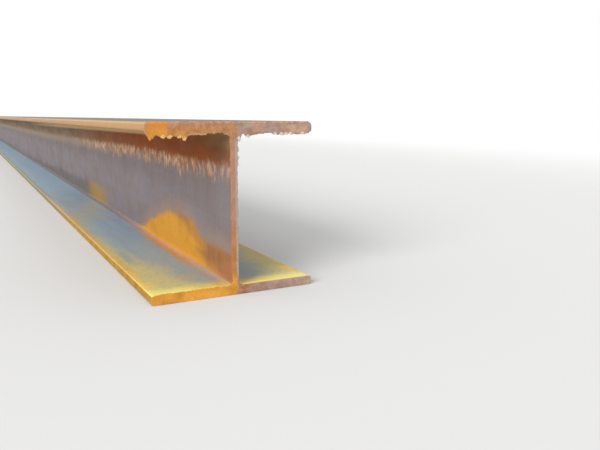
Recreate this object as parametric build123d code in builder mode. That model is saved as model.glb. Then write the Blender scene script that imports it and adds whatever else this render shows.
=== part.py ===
from build123d import *
import os

# One length of hot-rolled wide-flange H-beam: parallel flanges, a thin web between them,
# a fillet at each root, slightly rounded toes, and both ends sawn square.
# Origin at the middle of the underside, +X along the beam, +Z up, millimetres.

# Driving dimensions
section_height = 350.0  # outside face to outside face of the two flanges
flange_width = 350.0  # toe to toe
web_thickness = 12.0
flange_thickness = 19.0
root_radius = 13.0  # fillet between web and flange
toe_radius = 5.0  # rounding that the edging rolls leave on a flange toe
stock_length = 12000.0  # sawn length

# Worked out from the driving dimensions
flange_centres = [
    flange_thickness / 2,
    section_height - flange_thickness / 2,
]

with BuildPart() as h_beam:
    # Cross-section on the far sawn face: sketch X runs along +Y, sketch Y along +Z
    with BuildSketch(Plane.YZ.offset(-stock_length / 2)) as section:
        with Locations((0, section_height / 2)):
            Rectangle(web_thickness, section_height)
        with Locations(*[(0, height) for height in flange_centres]):
            Rectangle(flange_width, flange_thickness)
        roots = section.vertices().filter_by_position(
            Axis.X, -web_thickness / 2, web_thickness / 2
        )
        fillet(roots, root_radius)
        columns = section.vertices().group_by(Axis.X)
        fillet(columns[0] + columns[-1], toe_radius)
    extrude(amount=stock_length)

h_beam.part.label = "h_beam"

os.makedirs("parts", exist_ok=True)
export_step(h_beam.part, "parts/h_beam.step")
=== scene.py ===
import bmesh
import bpy
from mathutils import Matrix, Vector, noise


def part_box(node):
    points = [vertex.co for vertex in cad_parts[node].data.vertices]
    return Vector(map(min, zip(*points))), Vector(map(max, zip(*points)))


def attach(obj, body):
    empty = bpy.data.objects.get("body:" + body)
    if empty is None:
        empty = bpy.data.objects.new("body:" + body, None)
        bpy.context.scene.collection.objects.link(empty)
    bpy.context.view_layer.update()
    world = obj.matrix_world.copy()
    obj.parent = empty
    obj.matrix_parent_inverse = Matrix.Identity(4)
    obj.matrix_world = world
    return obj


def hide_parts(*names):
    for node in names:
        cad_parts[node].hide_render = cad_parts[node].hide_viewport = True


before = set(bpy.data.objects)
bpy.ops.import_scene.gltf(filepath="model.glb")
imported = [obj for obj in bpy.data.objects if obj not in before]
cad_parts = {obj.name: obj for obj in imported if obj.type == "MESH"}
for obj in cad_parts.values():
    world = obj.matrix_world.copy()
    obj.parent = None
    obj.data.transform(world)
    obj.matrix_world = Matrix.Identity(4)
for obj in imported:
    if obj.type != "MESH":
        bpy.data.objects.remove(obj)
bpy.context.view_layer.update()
print("frame loaded")

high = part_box("h_beam")[1]
halfLength, halfWidth, height = high.x, high.y, high.z

# The rolled section, in metres
section = {
    "web": 0.012,  # thickness
    "flange": 0.019,
    "rootRadius": 0.013,  # fillet between web and flange
    "rootSteps": 7,
    "toeRadius": 0.005,  # rounding at the flange toes
    "toeSteps": 4,
    "grid": 0.010,  # spacing of the cuts across web and flanges
}

# How the length is divided, from each sawn face inwards
lengthCuts = {
    "slab": [0.0014, 0.0052, 0.0160],  # thin slices that carry the lip and the worn edge
    "slabGrid": 0.0024,  # spacing of the cuts along the flanges and up the web, in those slices
    "flangeRows": 0.0030,  # and through the thickness of the flanges
    "webColumns": 0.0025,  # and through that of the web
    "offGrid": 0.0003,  # keeps them off the cuts across web and flanges
    "strip": 0.0300,  # left whole behind the slices
    "endZone": 0.70,  # divided more finely than the middle
    "endZoneCuts": 46,
    "middleCuts": 110,
}

halfWeb = section["web"] / 2
bottomInside = section["flange"]
topInside = height - section["flange"]
toeStart = halfWidth - section["toeRadius"]
rootStart = halfWeb + section["rootRadius"]
webLow = bottomInside + section["rootRadius"]
webHigh = topInside - section["rootRadius"]

hair = 1e-5  # places nearer than this are the same, and a cut this far off a line leaves it whole
facing = 0.9  # a face whose normal has more than this along an axis looks that way
aside = 0.1  # and one with less than this looks across it
mmPerMetre = 1000


def openPiece(piece):
    bpy.ops.object.select_all(action="DESELECT")
    piece.select_set(True)
    bpy.context.view_layer.objects.active = piece
    bpy.ops.object.mode_set(mode="EDIT")
    bpy.ops.mesh.select_mode(type="FACE")


def pickFaces(piece, wanted):
    mesh = bmesh.from_edit_mesh(piece.data)
    chosen = [face for face in mesh.faces if wanted(face.calc_center_median(), face.normal)]
    for face in mesh.faces:
        face.select_set(False)
    for face in chosen:
        face.select_set(True)
    bmesh.update_edit_mesh(piece.data)


def pickLongEdges(piece, wanted):  # edges that run along the beam
    bpy.ops.mesh.select_mode(type="EDGE")
    mesh = bmesh.from_edit_mesh(piece.data)
    for edge in mesh.edges:
        edge.select_set(False)
    for edge in mesh.edges:
        a, b = sorted((vert.co for vert in edge.verts), key=lambda point: point.x)
        if near(a.y, b.y) and near(a.z, b.z) and wanted(a, b):
            edge.select_set(True)
    bmesh.update_edit_mesh(piece.data)


def near(value, *targets):
    return any(abs(value - target) < hair for target in targets)


def cutAcross(axis, places):  # flat cuts through all that shows, at places along an axis
    for place in places:
        point, normal = [0, 0, 0], [0, 0, 0]
        point[axis], normal[axis] = place, 1
        bpy.ops.mesh.select_all(action="SELECT")
        bpy.ops.mesh.bisect(plane_co=point, plane_no=normal)


def evenly(start, end, spacing):  # inner places that divide a stretch evenly
    count = round((end - start) / spacing)
    return [start + (end - start) * number / count for number in range(1, count)]


# Web first, then the flanges drawn out of it, the root fillets and the rolled toes
bpy.ops.object.select_all(action="DESELECT")
bpy.ops.mesh.primitive_cube_add(size=1, location=(0, 0, height / 2))
beam = bpy.context.active_object
beam.name = "rolledBeam"
beam.scale = (2 * halfLength, section["web"], height)
bpy.ops.object.transform_apply(location=True, rotation=True, scale=True)
openPiece(beam)
cutAcross(2, [bottomInside, topInside])
for side in (-1, 1):
    pickFaces(
        beam,
        lambda middle, normal: normal.y * side > facing and not bottomInside < middle.z < topInside,
    )
    bpy.ops.mesh.extrude_region_move(TRANSFORM_OT_translate={"value": (0, side * (halfWidth - halfWeb), 0)})
for end in (-1, 1):
    pickFaces(beam, lambda middle, normal: normal.x * end > facing)
    bpy.ops.mesh.dissolve_faces()
pickLongEdges(beam, lambda a, b: near(abs(a.y), halfWeb) and near(a.z, bottomInside, topInside))
bpy.ops.mesh.bevel(offset=section["rootRadius"], segments=section["rootSteps"], affect="EDGES")
pickLongEdges(beam, lambda a, b: near(abs(a.y), halfWidth))
bpy.ops.mesh.bevel(offset=section["toeRadius"], segments=section["toeSteps"], affect="EDGES")
bpy.ops.mesh.select_mode(type="FACE")
acrossFlange = [rootStart + hair, *evenly(rootStart, toeStart, section["grid"]), toeStart - hair]
cutAcross(1, [-place for place in acrossFlange] + acrossFlange)
cutAcross(2, [webLow + hair, *evenly(webLow, webHigh, section["grid"]), webHigh - hair])
print("section rolled")

# Slices near the sawn ends, and a fine grid over each sawn face
slabStart = halfLength - lengthCuts["slab"][-1]
stripStart = halfLength - lengthCuts["strip"]
zoneStart = halfLength - lengthCuts["endZone"]
slices = [zoneStart, stripStart, *(halfLength - depth for depth in lengthCuts["slab"])]
for end in (-1, 1):
    cutAcross(0, [end * place for place in slices])


def shifted(places):
    return [place + lengthCuts["offGrid"] for place in places]


def cutSlab(piece, end, inWeb, cuts):  # cuts through the web's part of an end, or through the flanges' part
    pickFaces(
        piece,
        lambda middle, normal: end * middle.x > slabStart and inWeb == (webLow < middle.z < webHigh),
    )
    bpy.ops.mesh.hide(unselected=True)
    for axis, places in cuts:
        cutAcross(axis, places)
    bpy.ops.mesh.reveal(select=False)


flangeRows = evenly(0, webLow, lengthCuts["flangeRows"]) + evenly(webHigh, height, lengthCuts["flangeRows"])
flangeColumns = shifted(evenly(-halfWidth, halfWidth, lengthCuts["slabGrid"]))
webRows = shifted(evenly(webLow, webHigh, lengthCuts["slabGrid"]))
webColumns = evenly(-halfWeb, halfWeb, lengthCuts["webColumns"])
for end in (-1, 1):
    cutSlab(beam, end, False, [(1, flangeColumns), (2, flangeRows)])
    cutSlab(beam, end, True, [(2, webRows), (1, webColumns)])
print("sawn faces divided")

for cuts, start, end in (
    (lengthCuts["endZoneCuts"], zoneStart, stripStart),
    (lengthCuts["endZoneCuts"], -stripStart, -zoneStart),
    (lengthCuts["middleCuts"], -zoneStart, zoneStart),
):
    pickLongEdges(beam, lambda a, b: near(a.x, start) and near(b.x, end))
    bpy.ops.mesh.subdivide(number_cuts=cuts)
print("length divided")

# Ragged lip that the saw leaves round a sawn face. Each line is read across the beam or up the web
# and gives how far the edge then reaches, all in millimetres.
lip = {
    "layers": 4,
    "back": 0.0052,  # how far it reaches back from the sawn face
    "taper": 0.62,  # share of that which the tips lose
    "hollow": 0.0006,  # how far the tips lie behind the sawn face
    "ragged": 0.0016,  # height of its small teeth
    "ragGrain": (620, 170),  # noise cells in a metre, fine and coarse
    "least": 0.0002,  # reach where the line gives none
    "fullAt": 0.006,  # reach at which the mesh attribute lip is 1
    "farShare": 0.55,  # the far end's lip beside the near end's
    "underTop": [
        (-175, 328), (-172, 325.5), (-169.7, 321), (-167.6, 315.2), (-165.0, 315.0), (-162.4, 318.6),
        (-159.0, 319.6), (-156.2, 323.6), (-151, 324.4), (-147.5, 322.8), (-144.2, 319.4), (-138.8, 318.8),
        (-136.0, 322.0), (-133.2, 321.6), (-131.4, 318.2), (-125.6, 317.8), (-123.2, 322.4), (-114.6, 322.2),
        (-112.4, 318.6), (-107.6, 318.8), (-105.8, 321.6), (-104.0, 320.4), (-102.4, 314.6), (-96.8, 313.6),
        (-95.0, 320.6), (-92.2, 323.4), (-87.5, 324.0), (-70, 324.8), (-61, 323.8), (-55.5, 324.6),
        (-52.4, 327.6), (-46, 328.0), (-41.5, 325.6), (-37.5, 327.4), (-21.5, 327.4), (-18.5, 325.6),
        (-13, 323.4), (-9.6, 319.4), (5.8, 319.4), (8.2, 318.8), (9.3, 314), (11.7, 311.0), (14, 312.6),
        (15.8, 318.5), (17.6, 325.0), (22.6, 325.6), (25.7, 321.4), (30.3, 319.3), (33.8, 319.7), (37.3, 322),
        (42, 323.8), (52.5, 324.3), (64.2, 326.1), (81.7, 326.7), (86.3, 324.3), (89.8, 322.6), (93.3, 324.7),
        (96.8, 322.6), (100.3, 324.3), (103.8, 321.6), (107.3, 323.8), (110.8, 321.8), (114.3, 323.9),
        (117.8, 321.6), (121.3, 324.1), (126, 323.2), (137.7, 323.8), (154, 323.4), (161, 323.8),
        (165.7, 324.9), (170.3, 327.8), (175, 331.3),
    ],
    "rightOfWeb": [
        (23, 6.1), (35, 6.4), (93, 6.6), (187, 7), (222, 7.1), (245, 7.6), (261, 8.2), (265, 10.5),
        (268, 8.2), (276, 8.9), (280, 12.8), (283, 9.1), (297, 8.8), (309, 9.3), (317, 8.8), (327, 8.8),
    ],
    "leftOfWeb": [(32, -6.1), (70, -6.5), (210, -6.6), (303, -6.9), (315, -7.6), (321, -8.4)],
    "onBottom": [(-175, 19.2), (-163, 20.4), (-70, 20.8), (-29, 20.5), (-21, 19.3)],
    "webBeadHighlights": [(6.2, 262, 268), (7.2, 278, 284)],  # inner side, foot and top of two painted highlights on beads at the web's edge
    "beadHighlights": [  # middles of the painted bead highlights under the top flange, across and up
        (-140.5, 321.5), (-129, 320), (-126, 321), (-108.5, 320.5), (-98.5, 317), (11.5, 317),
        (30, 320), (90, 324.5), (105, 325), (115, 324.5), (125, 325), (153, 325.5),
    ],
}


def readLine(points, place):  # straight from one listed point to the next
    for (a, first), (b, second) in zip(points, points[1:]):
        if place <= b:
            return first + (second - first) * max(place - a, 0) / (b - a)
    return points[-1][1]


def ragAt(place, end, seed):
    fine, coarse = (place * cells for cells in lip["ragGrain"])
    rag = noise.noise(Vector((fine, seed, end * 3.7))) + noise.noise(Vector((coarse, seed, 1.3)))
    return rag * lip["ragged"]


def growLip(piece, end, wanted, line, axis, outwards, seed):
    # axis is the way it grows, 1 for y or 2 for z, and the line is read along the other of the two
    lipStart = halfLength - lip["back"]
    pickFaces(
        piece,
        lambda middle, normal: end * middle.x > lipStart and abs(normal.x) < aside and wanted(middle, normal),
    )
    other = 3 - axis
    alongLine = mmPerMetre * (end if other == 1 else 1)
    mesh = bmesh.from_edit_mesh(piece.data)
    feet = {}
    for vert in mesh.verts:
        if vert.select:
            feet[round(vert.co.x, 5), round(vert.co[other], 5)] = vert.co[axis]
    for layer in range(lip["layers"]):
        bpy.ops.mesh.extrude_region_move(TRANSFORM_OT_translate={"value": (0, 0, 0)})
        mesh = bmesh.from_edit_mesh(piece.data)
        grown = mesh.verts.layers.float.get("lip") or mesh.verts.layers.float.new("lip")
        share = (layer + 1) / lip["layers"]
        for vert in [vert for vert in mesh.verts if vert.select]:
            place = vert.co[other]
            foot = feet[round(vert.co.x, 5), round(place, 5)]
            edge = readLine(line, place * alongLine) / mmPerMetre + ragAt(place, end, seed)
            reach = outwards * (edge - foot) * (1 if end > 0 else lip["farShare"])
            vert.co[axis] = foot + outwards * max(reach, lip["least"]) * share
            vert[grown] = share * min(max(reach, 0) / lip["fullAt"], 1)
        bmesh.update_edit_mesh(piece.data)


def underTop(middle, normal):  # underside of the top flange, with what faces down of its fillets and toes
    return normal.z < -0.3 and middle.z > webHigh


def onWeb(middle, outward):  # one side of the web, clear of the fillets
    return outward > facing and webLow < middle.z < webHigh and abs(middle.y) < halfWeb + 0.001


def onBottom(middle, normal, end):  # upper face of the bottom flange, left of the web
    return normal.z > facing and middle.z < webLow and middle.y * end < -rootStart


bpy.ops.mesh.select_mode(type="FACE")
for end in (-1, 1):
    right, left = ([(up, across * end) for up, across in lip[name]] for name in ("rightOfWeb", "leftOfWeb"))
    growLip(beam, end, underTop, lip["underTop"], 2, -1, 2.1)
    growLip(beam, end, lambda middle, normal: onWeb(middle, normal.y * end), right, 1, end, 5.3)
    growLip(beam, end, lambda middle, normal: onWeb(middle, -normal.y * end), left, 1, -end, 8.9)
    growLip(beam, end, lambda middle, normal: onBottom(middle, normal, end), lip["onBottom"], 2, 1, 4.4)
bpy.ops.object.mode_set(mode="OBJECT")
print("lips grown")

# Wear and unevenness, never outside the rolled size
wear = {
    "sawnRelief": 0.0009,
    "sawnGrain": ((55, 9.1), (260, 4.3)),  # noise cells in a metre and a seed, coarse and fine
    "edgeBreak": 0.0007,
    "waviness": 0.0005,
    "longWaves": (3.1, 9, 3),  # noise cells in a metre along the beam and across it, and a seed
    "shortWaves": (9.7, 21, 0),
    "cornerRadius": 0.011,  # the upper right toe of the near end is knocked round
    "cornerReach": 0.040,
    "smoothUnder": 0.6,  # radians, the angle up to which neighbouring faces are shaded as one
}


def sawnDepth(vert, end):  # marks of the saw, deeper along the face's outline
    coarse, fine = (
        noise.noise(Vector((vert.co.y * cells, vert.co.z * cells, end * seed)))
        for cells, seed in wear["sawnGrain"]
    )
    depth = wear["sawnRelief"] * (0.45 + 0.35 * coarse + 0.3 * fine)
    if any(abs(face.normal.x) < 0.5 for face in vert.link_faces):
        depth += wear["edgeBreak"] * (0.6 + 0.5 * fine)
    return max(depth, 0)


def wave(place, along, across, seed):
    return noise.noise(Vector((place.x * along, place.y * across, place.z * across + seed)))


def rolledStep(vert):  # long shallow waves
    both = wave(vert.co, *wear["longWaves"]) + 0.5 * wave(vert.co, *wear["shortWaves"])
    return -vert.normal * wear["waviness"] * (0.5 + 0.45 * both)


def cornerStep(place, depth):  # rounds the upper right toe, and fades out along the beam
    radius = wear["cornerRadius"]
    arm = Vector((0, place.y - halfWidth + radius, place.z - height + radius))
    if min(arm.y, arm.z) <= 0 or arm.length <= radius or depth >= wear["cornerReach"]:
        return Vector((0, 0, 0))
    return -arm.normalized() * (arm.length - radius) * (1 - depth / wear["cornerReach"])


mesh = bmesh.new()
mesh.from_mesh(beam.data)
mesh.normal_update()
grown = mesh.verts.layers.float["lip"]
moves = []
for vert in mesh.verts:
    depth = halfLength - abs(vert.co.x)
    end = 1 if vert.co.x > 0 else -1
    step = Vector((0, 0, 0))
    if depth < hair:
        step.x = -end * sawnDepth(vert, end)
    elif depth > lengthCuts["slab"][-1] + hair:
        step = rolledStep(vert)
    if end > 0:
        step += cornerStep(vert.co, depth)
    if vert[grown] > 0:
        step.x += end * depth * lip["taper"] * vert[grown]
        step.x -= end * lip["hollow"] * vert[grown]
    moves.append((vert, step))
for vert, step in moves:
    vert.co += step
mesh.to_mesh(beam.data)
mesh.free()
bpy.ops.object.shade_smooth_by_angle(angle=wear["smoothUnder"])
print("wear added", len(beam.data.polygons), "faces")


class Value:  # one socket of a finish, so that masks are written as plain sums
    def __init__(self, finish, socket):
        self.finish, self.socket = finish, socket

    def maths(self, operation, first, second=0.0):
        return self.finish.add("Math", {"operation": operation}, {0: first, 1: second})

    def __add__(self, other):
        return self.maths("ADD", self, other)

    def __sub__(self, other):
        return self.maths("SUBTRACT", self, other)

    def __rsub__(self, other):
        return self.maths("SUBTRACT", other, self)

    def __mul__(self, other):
        return self.maths("MULTIPLY", self, other)

    __radd__, __rmul__ = __add__, __mul__

    def size(self):
        return self.maths("ABSOLUTE", self)

    def over(self, edge, soft):  # 1 above the edge, 0 below it
        return self.finish.add(
            "MapRange",
            {"interpolation_type": "SMOOTHSTEP"},
            {0: self - edge, 1: -soft / 2, 2: soft / 2, 3: 0.0, 4: 1.0},
        )

    def under(self, edge, soft):
        return 1 - self.over(edge, soft)

    def within(self, start, end, soft):
        return self.over(start, soft) * self.under(end, soft)


grainContrast = 2.4  # stretches the noise to about 0 to 1


class Finish:  # a material under construction
    def __init__(self, name):
        self.material = bpy.data.materials.new(name)
        self.material.use_nodes = True
        self.tree = self.material.node_tree
        self.shader = self.tree.nodes["Principled BSDF"]
        self.place = self.add("TexCoord", output="Object")
        self.x, self.y, self.z = (self.add("SeparateXYZ", {}, {0: self.place}, axis) for axis in "XYZ")

    def add(self, kind, settings=None, sockets=None, output=0):  # any node, as the output that is used
        node = self.tree.nodes.new("ShaderNode" + kind)
        for name, value in (settings or {}).items():
            setattr(node, name, value)
        for name, value in (sockets or {}).items():
            if isinstance(value, Value):
                self.tree.links.new(value.socket, node.inputs[name])
            else:
                node.inputs[name].default_value = value
        return Value(self, node.outputs[output])

    def grain(self, size, detail=3.0, rough=0.55, shift=(0.0, 0.0, 0.0)):  # about 0 to 1, size in metres
        sizes = size if isinstance(size, tuple) else (size, size, size)
        scale = tuple(1 / one for one in sizes)
        spread = self.add("Mapping", {}, {"Vector": self.place, "Location": shift, "Scale": scale})
        raw = self.add("TexNoise", {}, {"Vector": spread, "Scale": 1.0, "Detail": detail, "Roughness": rough})
        return (raw - 0.5) * grainContrast + 0.5

    def mix(self, mask, first, second):
        return self.add("Mix", {"data_type": "RGBA"}, {0: mask, 6: first, 7: second}, 2)

    def coats(self, base, *layers):  # a layer is a mask and the colour that it lays over what came before
        for mask, colour in layers:
            base = self.mix(mask, base, colour)
        return base

    def clear(self, value):  # held between 0 and 1
        return self.add("Clamp", {}, {"Value": value})

    def set(self, **sockets):  # the shader's own, with _ for each space in a name
        for name, value in sockets.items():
            socket = self.shader.inputs[name.replace("_", " ")]
            if isinstance(value, Value):
                self.tree.links.new(value.socket, socket)
            else:
                socket.default_value = value


studioLevel = 0.865  # share of a colour's light with which it shows as written in the studio


def paint(red, green, blue):  # a screen colour, 0 to 255, or up to 271 for the brightest rust, with sunlight painted in
    linear = [((one / 255 + 0.055) / 1.055) ** 2.4 if one > 10 else one / 3295 for one in (red, green, blue)]
    return (*(one * studioLevel for one in linear), 1.0)


steel = Finish("millScaleSteel")
x, y, z = steel.x, steel.y, steel.z
fromMiddle = y.size()
toSawnFace = halfLength - x.size()
back = halfLength - x  # distance from the near sawn face
onLeft = y.under(0.0, 0.01)  # 1 on the left of the web
topFlange = z.over(0.15, 0.01)  # 1 on the top flange, 0 on the bottom one

# Where the main marks lie, in metres
marks = {
    "bandFoot": 0.252,  # lower edge of the dark brown band under the top flange
    "fringeDepth": 0.048,  # how far its drips hang down
    "splashRise": 0.100,  # how far the orange splash climbs the web
    "splashBack": 0.60,  # where it ends, behind the sawn face
    "oldSplash": (1.28, 1.66),  # where an older one starts and ends
    "oldSplashTop": 0.086,
    "dampTop": 0.044,  # height of the grey stretch low on the web, far back
    "dampRise": 0.038,  # what is added to it nearer the sawn face
    "rimWidth": 0.038,  # yellow rust rim on the bottom flange, along a sawn face, painted brighter as sunlit
    "sunlitSpan": (-0.1695, -0.132),  # painted sunlight: the brighter orange part of the top flange's sawn end, whose right edge is a shadow's edge
}

# Grain that the masks share
cloud = steel.grain(0.19, 4.0)
patch = steel.grain(0.060, 4.0, 0.6, (3.1, 0.4, 1.7))
mottle = steel.grain(0.026, 3.0, 0.55, (1.2, 5.0, 0.3))
speck = steel.grain(0.012, 3.0, 0.6)
grit = steel.grain(0.0035, 2.0)
streak = steel.grain((0.009, 0.05, 0.12), 2.0, 0.5)
blot = steel.grain((0.052, 0.05, 0.054), 4.0, 0.60, (0.7, 0.0, 2.2))
fleck = steel.grain((0.016, 0.05, 0.026), 3.0, 0.55, (4.7, 0.0, 0.9))
broadStreak = steel.grain((0.070, 0.05, 0.25), 3.0, 0.5)
longSmear = steel.grain((0.55, 0.045, 0.040), 3.0, 0.5)
rolledSmear = steel.grain((0.26, 0.06, 0.045), 4.0, 0.55, (2.2, 0.0, 7.1))

bandFoot = marks["bandFoot"] + 0.015 * back.under(1.9, 3.0) - 0.004 * back.under(0.45, 0.3)
band = z.over(bandFoot + (blot - 0.5) * 0.016, 0.018)


def fringeMask():  # drips under the dark brown band
    up = (z - bandFoot + marks["fringeDepth"]) * 21.0  # 0 at the fringe's tips, 1 at the band
    tips = (blot + up * 0.50).over(0.84, 0.40) * z.over(bandFoot - 0.058, 0.04)
    haze = up.over(0.45, 0.9)
    nearEnd = back.under(0.20, 0.24)
    drips = steel.clear(haze * (0.58 + 0.12 * nearEnd) + tips * (0.60 - 0.28 * nearEnd))
    drips = drips * back.under(1.7, 0.9) * (0.60 + 0.40 * back.over(0.12, 0.2))
    return drips + haze * back.over(1.6, 1.2) * 0.7


def fringeColour():
    return steel.coats(
        steel.mix(mottle.over(0.5, 0.5), paint(182, 126, 78), paint(194, 146, 110)),
        (back.over(1.5, 1.6), paint(180, 158, 126)),
        (fleck.over(0.55, 0.18) * back.under(1.7, 0.8) * 0.8, paint(226, 190, 158)),
        (fleck.under(0.36, 0.2) * back.under(1.5, 0.6) * 0.6, paint(136, 106, 90)),
    )


def bandColour():
    return steel.coats(
        steel.mix(back.over(1.5, 1.6), paint(164, 82, 6), paint(156, 132, 104)),
        (z.over(0.300, 0.022) * back.under(0.50, 0.6) * 0.55, paint(132, 90, 26)),
        (rolledSmear.over(0.55, 0.5) * 0.35, paint(112, 62, 26)),
        (back.under(0.085, 0.13) * 0.75, paint(118, 88, 66)),
        # painted light near the top by the sawn face, where the flange's shade falls
        (z.over(0.298, 0.02) * back.under(0.13, 0.14) * 0.6, paint(156, 122, 76)),
    )


def underToePaintedLight():  # painted light: a bright tan line along the upper root, where the flange's shade falls, which widens further back
    line = (z + 0.0049 * back - 0.3120).over(0.0, 0.010) * z.under(0.322, 0.008)
    return line * back.over(0.60, 0.25) * back.under(3.4, 2.6)


def splashLayers():  # first the haze round the orange splash, then the splash
    top = bottomInside + marks["splashRise"] * back.under(marks["splashBack"], 0.48)
    top = top - 0.038 * back.under(0.225, 0.12) + (patch - 0.5) * 0.014
    freshTop = back.within(0.160, 0.285, 0.05) * z.over(0.058, 0.014)
    slant = 0.33 * back - 0.012 - z + (broadStreak - 0.5) * 0.03
    rawness = steel.clear(slant.over(0.0, 0.050) + freshTop * 0.5)  # 1 where it is fresh and bright
    colour = steel.coats(
        steel.mix(rawness, paint(150, 104, 68), paint(212, 152, 50)),
        (streak.over(0.55, 0.4) * 0.22 * (1 - rawness), paint(194, 128, 66)),
        (patch.over(0.62, 0.3) * 0.3, paint(186, 122, 46)),
        (z.under(0.075 - 0.35 * back, 0.03) * back.under(0.15, 0.12) * 0.35, paint(190, 126, 90)),
    )
    return (
        (z.under(top + 0.026, 0.050) * back.under(0.75, 0.2) * 0.45, paint(170, 138, 112)),
        (z.under(top + (streak - 0.5) * 0.006, 0.020), colour),
    )


def webLeftColour():
    oldTop = marks["oldSplashTop"] + (patch - 0.5) * 0.04
    oldSplash = z.under(oldTop, 0.04) * back.within(*marks["oldSplash"], 0.24)
    dampTop = marks["dampTop"] + marks["dampRise"] * back.under(2.9, 2.6) + (cloud - 0.5) * 0.02
    damp = z.under(dampTop, 0.03) * back.over(1.60, 0.25)
    besideSawnFace = back.under(0.007 + (speck - 0.5) * 0.006, 0.006) * z.under(0.305, 0.02)
    return steel.coats(
        steel.mix(cloud, paint(133, 123, 124), paint(121, 111, 112)),
        (streak.over(0.64, 0.4) * 0.14, paint(150, 138, 134)),
        (broadStreak.over(0.60, 0.4) * 0.16, paint(124, 108, 98)),
        (rolledSmear.over(0.58, 0.4) * 0.35, paint(132, 128, 138)),
        (fringeMask(), fringeColour()),
        (band, bandColour()),
        # painted light in the shade under the toe
        (underToePaintedLight() * 0.9, paint(254, 210, 150)),
        *splashLayers(),
        (oldSplash * 0.8, paint(168, 130, 58)),
        (damp * 0.7, paint(102, 97, 92)),
        (besideSawnFace * 0.6, paint(172, 116, 84)),
    )


def webRightColour():
    nearEnd = toSawnFace.under(0.62 + (cloud - 0.5) * 0.4, 0.35)
    lowRust = z.under(0.090 + (patch - 0.5) * 0.07, 0.035) * nearEnd
    return steel.coats(
        steel.mix(cloud, paint(124, 126, 134), paint(108, 108, 116)),
        (streak.over(0.66, 0.35) * 0.3, paint(142, 132, 126)),
        (lowRust, steel.mix(speck, paint(170, 100, 46), paint(132, 74, 38))),
        (band * 0.7, paint(128, 88, 60)),
    )


# mill scale on the bottom flange's upper face, with a painted sky reflection: its bluish tint and lightness
def scaleAndSkyReflectionColour():
    return steel.coats(
        steel.mix(longSmear, paint(150, 173, 197), paint(172, 189, 204)),
        (cloud.over(0.55, 0.5) * 0.4, paint(168, 170, 182)),
        (toSawnFace.under(0.50, 0.6) * 0.6, paint(186, 194, 184)),
        (longSmear.over(0.60, 0.4) * fromMiddle.over(0.09, 0.10) * 0.5, paint(172, 194, 190)),
        (fromMiddle.over(0.13, 0.06) * 0.5, paint(190, 196, 190)),
        # painted sky reflection, bluer and lighter far back
        (back.over(1.75, 0.5) * 0.58, paint(180, 208, 226)),
        (back.over(1.6, 0.5) * fromMiddle.over(0.158, 0.02) * 0.6, paint(172, 160, 124)),
    )


def bottomUpperColour():  # upper face of the bottom flange
    slant = back + (fromMiddle - 0.02) * 2.71 - 1.345 + (cloud - 0.5) * 0.2
    paleRun = slant.size().under(0.16, 0.34) * onLeft  # crosses the flange at a slant
    inOchre = fromMiddle - toSawnFace * 0.13 - 0.078 + (cloud - 0.5) * 0.05 + (patch - 0.5) * 0.02
    ochre = inOchre.over(0.0, 0.080) * toSawnFace.under(0.75, 0.5)
    # yellow rust along the outer edge and by the sawn face, partly painted sunlight that makes it brighter
    edgeRustAndSunlight = fromMiddle.over(0.160 + (patch - 0.5) * 0.03, 0.03) * toSawnFace.under(1.5, 1.0)
    edgePaint = steel.mix(toSawnFace.under(0.22, 0.2), paint(232, 186, 92), paint(260, 212, 104))
    coolPatch = back.within(0.29, 0.44, 0.08) * fromMiddle.within(0.130, 0.150, 0.012) * onLeft
    cornerOchreAndSunlight = toSawnFace.within(0.06, 0.11, 0.03) * fromMiddle.over(0.146, 0.02)
    innerOchre = toSawnFace.within(0.09, 0.135, 0.03) * fromMiddle.within(0.046, 0.088, 0.016) * onLeft
    rim = toSawnFace.under(marks["rimWidth"] + (patch - 0.5) * 0.02, 0.066)
    rootRust = fromMiddle.under(0.034 + (mottle - 0.5) * 0.012, 0.014) * back.under(0.85, 0.4)
    rootRust = rootRust * y.under(0.0, 0.002) * (0.30 + 0.45 * back.within(0.24, 0.66, 0.16))
    return steel.coats(
        scaleAndSkyReflectionColour(),
        (paleRun * 0.5, paint(200, 186, 146)),
        (ochre * 0.85, steel.mix(patch, paint(244, 218, 130), paint(228, 214, 150))),
        (edgeRustAndSunlight * 0.8, edgePaint),
        (speck.over(0.72, 0.2) * 0.25 * toSawnFace.under(0.5, 0.4), paint(140, 172, 168)),
        (coolPatch * 0.6, paint(164, 180, 176)),
        (cornerOchreAndSunlight * 0.5, paint(271, 226, 104)),
        (innerOchre * 0.45, paint(224, 190, 112)),
        # rim and sawn edge: yellow rust with painted sunlight
        (rim, steel.mix(fromMiddle.over(0.09, 0.08), paint(258, 230, 120), paint(271, 260, 156))),
        (toSawnFace.under(0.014, 0.016) * 0.85, paint(271, 252, 140)),
        (rootRust, paint(224, 158, 84)),
    )


def outerColour():  # top and underside of the beam
    top = steel.coats(
        steel.mix(longSmear, paint(112, 122, 130), paint(138, 142, 138)),
        (patch.over(0.58, 0.5) * 0.55, paint(170, 148, 104)),
        (speck.over(0.70, 0.3) * cloud.over(0.5, 0.3) * 0.6, paint(132, 90, 58)),
    )
    return steel.mix(topFlange, steel.mix(patch, paint(118, 92, 70), paint(96, 78, 64)), top)


def toeColour():
    upper = steel.coats(
        steel.mix(back.over(0.9, 1.6), paint(192, 154, 108), paint(178, 144, 118)),
        (longSmear.over(0.55, 0.4) * 0.35, paint(192, 138, 84)),
        # painted highlight along the toe's upper rounding
        (z.over(height - 0.0045, 0.003) * 0.7, paint(206, 178, 126)),
        # painted shade on the toe's lower rounding
        (z.under(height - 0.0135, 0.005) * 0.35, paint(168, 134, 92)),
    )
    lower = steel.coats(
        steel.mix(mottle, paint(196, 148, 48), paint(158, 118, 48)),
        (back.over(1.2, 1.4), paint(146, 130, 90)),
    )
    return steel.mix(topFlange, lower, upper)


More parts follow.
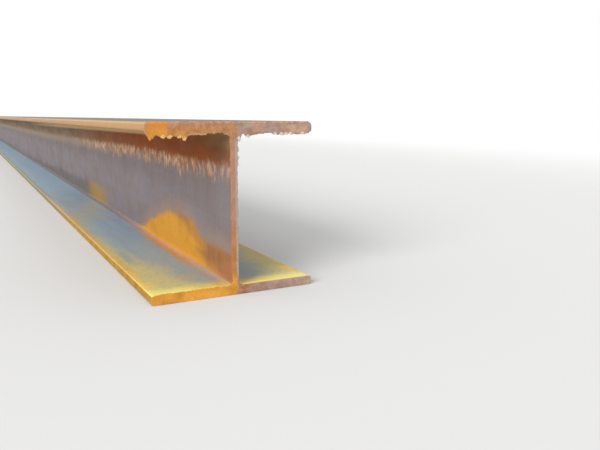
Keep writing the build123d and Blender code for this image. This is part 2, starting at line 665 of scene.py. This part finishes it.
def rolledColour():  # every rolled face, with a painted highlight in rust colours along the lower root fillets
    web = steel.mix(y.over(0.0, 0.001), webLeftColour(), webRightColour())
    topUnder = steel.mix(patch, paint(120, 80, 50), paint(142, 98, 64))
    between = z.within(bottomInside / 2, height - bottomInside / 2, 0.0006)  # not on the outer faces
    atRoot = fromMiddle.under(rootStart, 0.001) * z.within(bottomInside - 0.0003, topInside + 0.0003, 0.0003)
    atLowRoot = atRoot * z.under(webLow, 0.001)
    slope = z - bottomInside - fromMiddle + halfWeb  # below 0 on the flange's half of a lower fillet
    nearFace = toSawnFace.under(0.25, 0.3)
    # painted highlight along the lower root fillet, rust-coloured near the sawn face and grey further back
    rootHighlight = (slope + 0.002).size().under(0.0062, 0.006) * (0.85 - 0.25 * nearFace)
    rootHighlightPaint = steel.mix(nearFace, paint(218, 154, 98), paint(190, 138, 102))
    rootHighlightPaint = steel.mix(toSawnFace.under(0.75, 0.9), paint(124, 114, 112), rootHighlightPaint)
    toeEdge = halfWidth - 0.0016 - 0.0020 * topFlange
    return steel.coats(
        outerColour(),
        (between, steel.mix(topFlange, bottomUpperColour(), topUnder)),
        (atRoot - atLowRoot * slope.under(0.0, 0.004), web),
        (atLowRoot * slope.under(0.001, 0.004) * 0.5 * toSawnFace.over(0.7, 0.6), paint(110, 112, 118)),
        (atLowRoot * rootHighlight, rootHighlightPaint),
        (fromMiddle.over(toeEdge, 0.001), toeColour()),
    )


def webEndColour():
    return steel.coats(
        steel.mix(z.under(0.12, 0.12), paint(176, 133, 112), paint(181, 120, 58)),
        (mottle.over(0.55, 0.3) * 0.35, paint(206, 158, 120)),
        (y.under(-0.003, 0.004) * (0.2 + 0.3 * z.under(0.14, 0.08)), paint(192, 120, 70)),
        (y.over(0.002, 0.004) * 0.6, paint(192, 174, 162)),
    )


def sawnColour():  # orange and tan to the left, pink-brown to the right
    waver = speck - 0.5
    onRight = y.over(0.008, 0.02)
    tan = steel.coats(
        steel.mix(patch, paint(206, 144, 78), paint(180, 124, 80)),
        (cloud.over(0.5, 0.4) * 0.35, paint(186, 138, 112)),
        (z.over(height - 0.010, 0.010) * 0.65, paint(184, 144, 128)),
        (y.over(-0.075, 0.06) * 0.4, paint(178, 134, 104)),
        (y.under(-0.1690 + waver * 0.003, 0.003) * 0.7, paint(216, 164, 112)),
    )
    tanPart = y.within(0.112, 0.162, 0.014) * z.within(height - 0.023, height - 0.007, 0.006)
    pink = steel.coats(
        steel.mix(patch, paint(180, 152, 142), paint(168, 134, 118)),
        (tanPart * 0.75, paint(204, 168, 136)),
        (y.within(0.038, 0.068, 0.012) * z.over(0.2, 0.1) * 0.6, paint(194, 148, 124)),
        (y.within(0.014, 0.040, 0.010) * z.over(height - 0.013, 0.006) * 0.6, paint(172, 158, 126)),
        (y.under(0.034 + waver * 0.012, 0.030) * z.under(0.1, 0.05) * 0.85, paint(160, 102, 60)),
        (y.over(0.158 + waver * 0.008, 0.010) * z.under(0.1, 0.05) * 0.6, paint(192, 168, 130)),
    )
    # painted sunlight on the top flange's sawn end: a brighter orange block, with painted shade beyond its
    # right edge
    sunlitStart, sunlitEnd = (across + waver * 0.003 for across in marks["sunlitSpan"])
    sunlitBlock = y.within(sunlitStart, sunlitEnd, 0.0025) * z.over(0.2, 0.01)
    sunlitPaint = steel.coats(
        steel.mix(mottle, paint(224, 155, 71), paint(210, 139, 64)),
        (z.over(0.338 + (mottle - 0.5) * 0.01, 0.010) * 0.6, paint(216, 134, 66)),
    )
    glow = y.within(-0.100 + (mottle - 0.5) * 0.02, -0.035, 0.03) * z.under(0.016, 0.008)
    lowLeftPaint = steel.coats(
        steel.mix(mottle, paint(230, 166, 68), paint(202, 138, 52)),
        (glow * 0.6, paint(244, 172, 70)),
    )
    return steel.coats(
        steel.mix(onRight, tan, pink),
        (speck.over(0.60, 0.3) * 0.30, steel.mix(onRight, paint(222, 166, 112), paint(204, 180, 170))),
        (mottle.over(0.60, 0.3) * 0.34, paint(150, 94, 58)),
        (fromMiddle.under(halfWeb + 0.003, 0.004) * z.within(0.036, 0.315, 0.02), webEndColour()),
        (sunlitBlock, sunlitPaint),
        (y.under(0.002, 0.008) * z.under(0.040, 0.03), lowLeftPaint),
        # painted highlight along the top edge of the sawn face, broken into specks
        (z.over(height - 0.0030, 0.002) * speck.over(0.45, 0.4) * 0.35, paint(226, 190, 160)),
    )


lipShare = steel.add("Attribute", {"attribute_name": "lip"}, {}, "Fac")


def beadHighlightMask():  # painted highlights on the beads of the lip
    beads = sum(
        y.over(inner / mmPerMetre, 0.002) * z.within(foot / mmPerMetre, top / mmPerMetre, 0.003)
        for inner, foot, top in lip["webBeadHighlights"]
    )
    for across, up in lip["beadHighlights"]:
        away = (y - across / mmPerMetre).size() + (z - up / mmPerMetre).size()
        beads = beads + away.under(0.0052, 0.003)
    return steel.clear(beads) * lipShare.over(0.30, 0.4)


onSawnFace = toSawnFace.under(0.0024, 0.0014)
paleEdge = lipShare.over(0.55, 0.5) * y.within(-0.094, -0.054, 0.008) * z.over(webHigh, 0.001)
colour = steel.coats(
    steel.mix(onSawnFace, rolledColour(), sawnColour()),
    # painted highlights on the lip's beads
    (beadHighlightMask() * 0.85, steel.mix(y.over(0.0, 0.01), paint(242, 195, 124), paint(232, 218, 206))),
    (paleEdge * 0.6, paint(214, 170, 136)),
    (grit.over(0.60, 0.5) * 0.10, paint(60, 48, 42)),
)
relief = grit * 0.25 + speck * 0.35 + patch * 0.15
bump = steel.add("Bump", {}, {"Strength": 0.7, "Distance": 0.0006, "Height": relief})
steel.set(
    Base_Color=colour,
    Metallic=(1 - onSawnFace) * 0.12,
    Roughness=0.62 + 0.16 * (patch - 0.5) + 0.14 * onSawnFace,
    Normal=bump,
    Specular_IOR_Level=0.1,
)
beam.data.materials.clear()
beam.data.materials.append(steel.material)
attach(beam, "root")
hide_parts("h_beam")
print("steel finished")

# Floor that turns into the white background further out
studio = {
    "floor": 30.0,
    "floorDrop": 0.0004,  # keeps it just clear of the underside
    "fadeFrom": 2.2,
    "fadeTo": 5.4,
    "fadeStretch": 0.30,  # lengths along the beam count for less, so that the fade is an oval
    "sky": 0.745,
    "skyColour": (0.97, 0.985, 1.0, 1.0),
    "sun": 2.76,
    "sunWidth": 0.6,  # radians, which softens its shadow
    "sunAt": (0.46, -0.77, 0.43),
}
bpy.ops.object.select_all(action="DESELECT")
bpy.ops.mesh.primitive_plane_add(size=studio["floor"], location=(0, 0, -studio["floorDrop"]))
floor = bpy.context.active_object
floor.name = "studioFloor"
pale = Finish("paleFloor")
oval = pale.add("Mapping", {}, {"Vector": pale.place, "Scale": (studio["fadeStretch"], 1.0, 1.0)})
distance = pale.add("VectorMath", {"operation": "LENGTH"}, {0: oval}, "Value")
pale.set(Base_Color=paint(240, 239, 236), Roughness=0.9)
glow = pale.add("Emission", {}, {"Strength": 1.0})
seen = pale.add("LightPath", output="Is Camera Ray")
fade = distance.over((studio["fadeFrom"] + studio["fadeTo"]) / 2, studio["fadeTo"] - studio["fadeFrom"])
blend = pale.add("MixShader", {}, {0: fade * seen, 1: Value(pale, pale.shader.outputs[0]), 2: glow})
pale.tree.links.new(blend.socket, pale.tree.nodes["Material Output"].inputs[0])
floor.data.materials.append(pale.material)

# Soft sky that lights the beam, and plain white where the camera or a reflection looks past it
world = bpy.data.worlds.new("studioSky")
bpy.context.scene.world = world
world.use_nodes = True
sky = world.node_tree
light = sky.nodes["Background"]
light.inputs["Color"].default_value = studio["skyColour"]
light.inputs["Strength"].default_value = studio["sky"]
white = sky.nodes.new("ShaderNodeBackground")
white.inputs["Color"].default_value = (1.0, 1.0, 1.0, 1.0)
path = sky.nodes.new("ShaderNodeLightPath")
either = sky.nodes.new("ShaderNodeMath")
either.operation = "MAXIMUM"
choose = sky.nodes.new("ShaderNodeMixShader")
sky.links.new(path.outputs["Is Camera Ray"], either.inputs[0])
sky.links.new(path.outputs["Is Glossy Ray"], either.inputs[1])
sky.links.new(either.outputs[0], choose.inputs[0])
sky.links.new(light.outputs[0], choose.inputs[1])
sky.links.new(white.outputs[0], choose.inputs[2])
sky.links.new(choose.outputs[0], sky.nodes["World Output"].inputs[0])

bpy.ops.object.light_add(type="SUN", location=(4, -4, 3))
sun = bpy.context.active_object
sun.name = "softSun"
sun.data.energy = studio["sun"]
sun.data.angle = studio["sunWidth"]
sun.rotation_euler = Vector(studio["sunAt"]).to_track_quat("Z", "Y").to_euler()

view = {
    "lens": 37.11,  # mm, on a sensor 36 mm wide
    "place": (7.13832, -0.46675, 0.36023),
    "ahead": (-0.86667, 0.46783, -0.17327),
    "roll": 0.0019,  # radians
}
bpy.ops.object.camera_add(location=view["place"])
camera = bpy.context.active_object
camera.name = "photoCamera"
camera.data.lens = view["lens"]
ahead = Vector(view["ahead"]).normalized()
right = ahead.cross(Vector((0, 0, 1))).normalized()
above = right.cross(ahead)
turned = Matrix((right, above, -ahead)).transposed() @ Matrix.Rotation(view["roll"], 3, "Z")
camera.rotation_euler = turned.to_euler()
bpy.context.scene.camera = camera
bpy.context.scene.view_settings.view_transform = "Standard"
print("studio set")
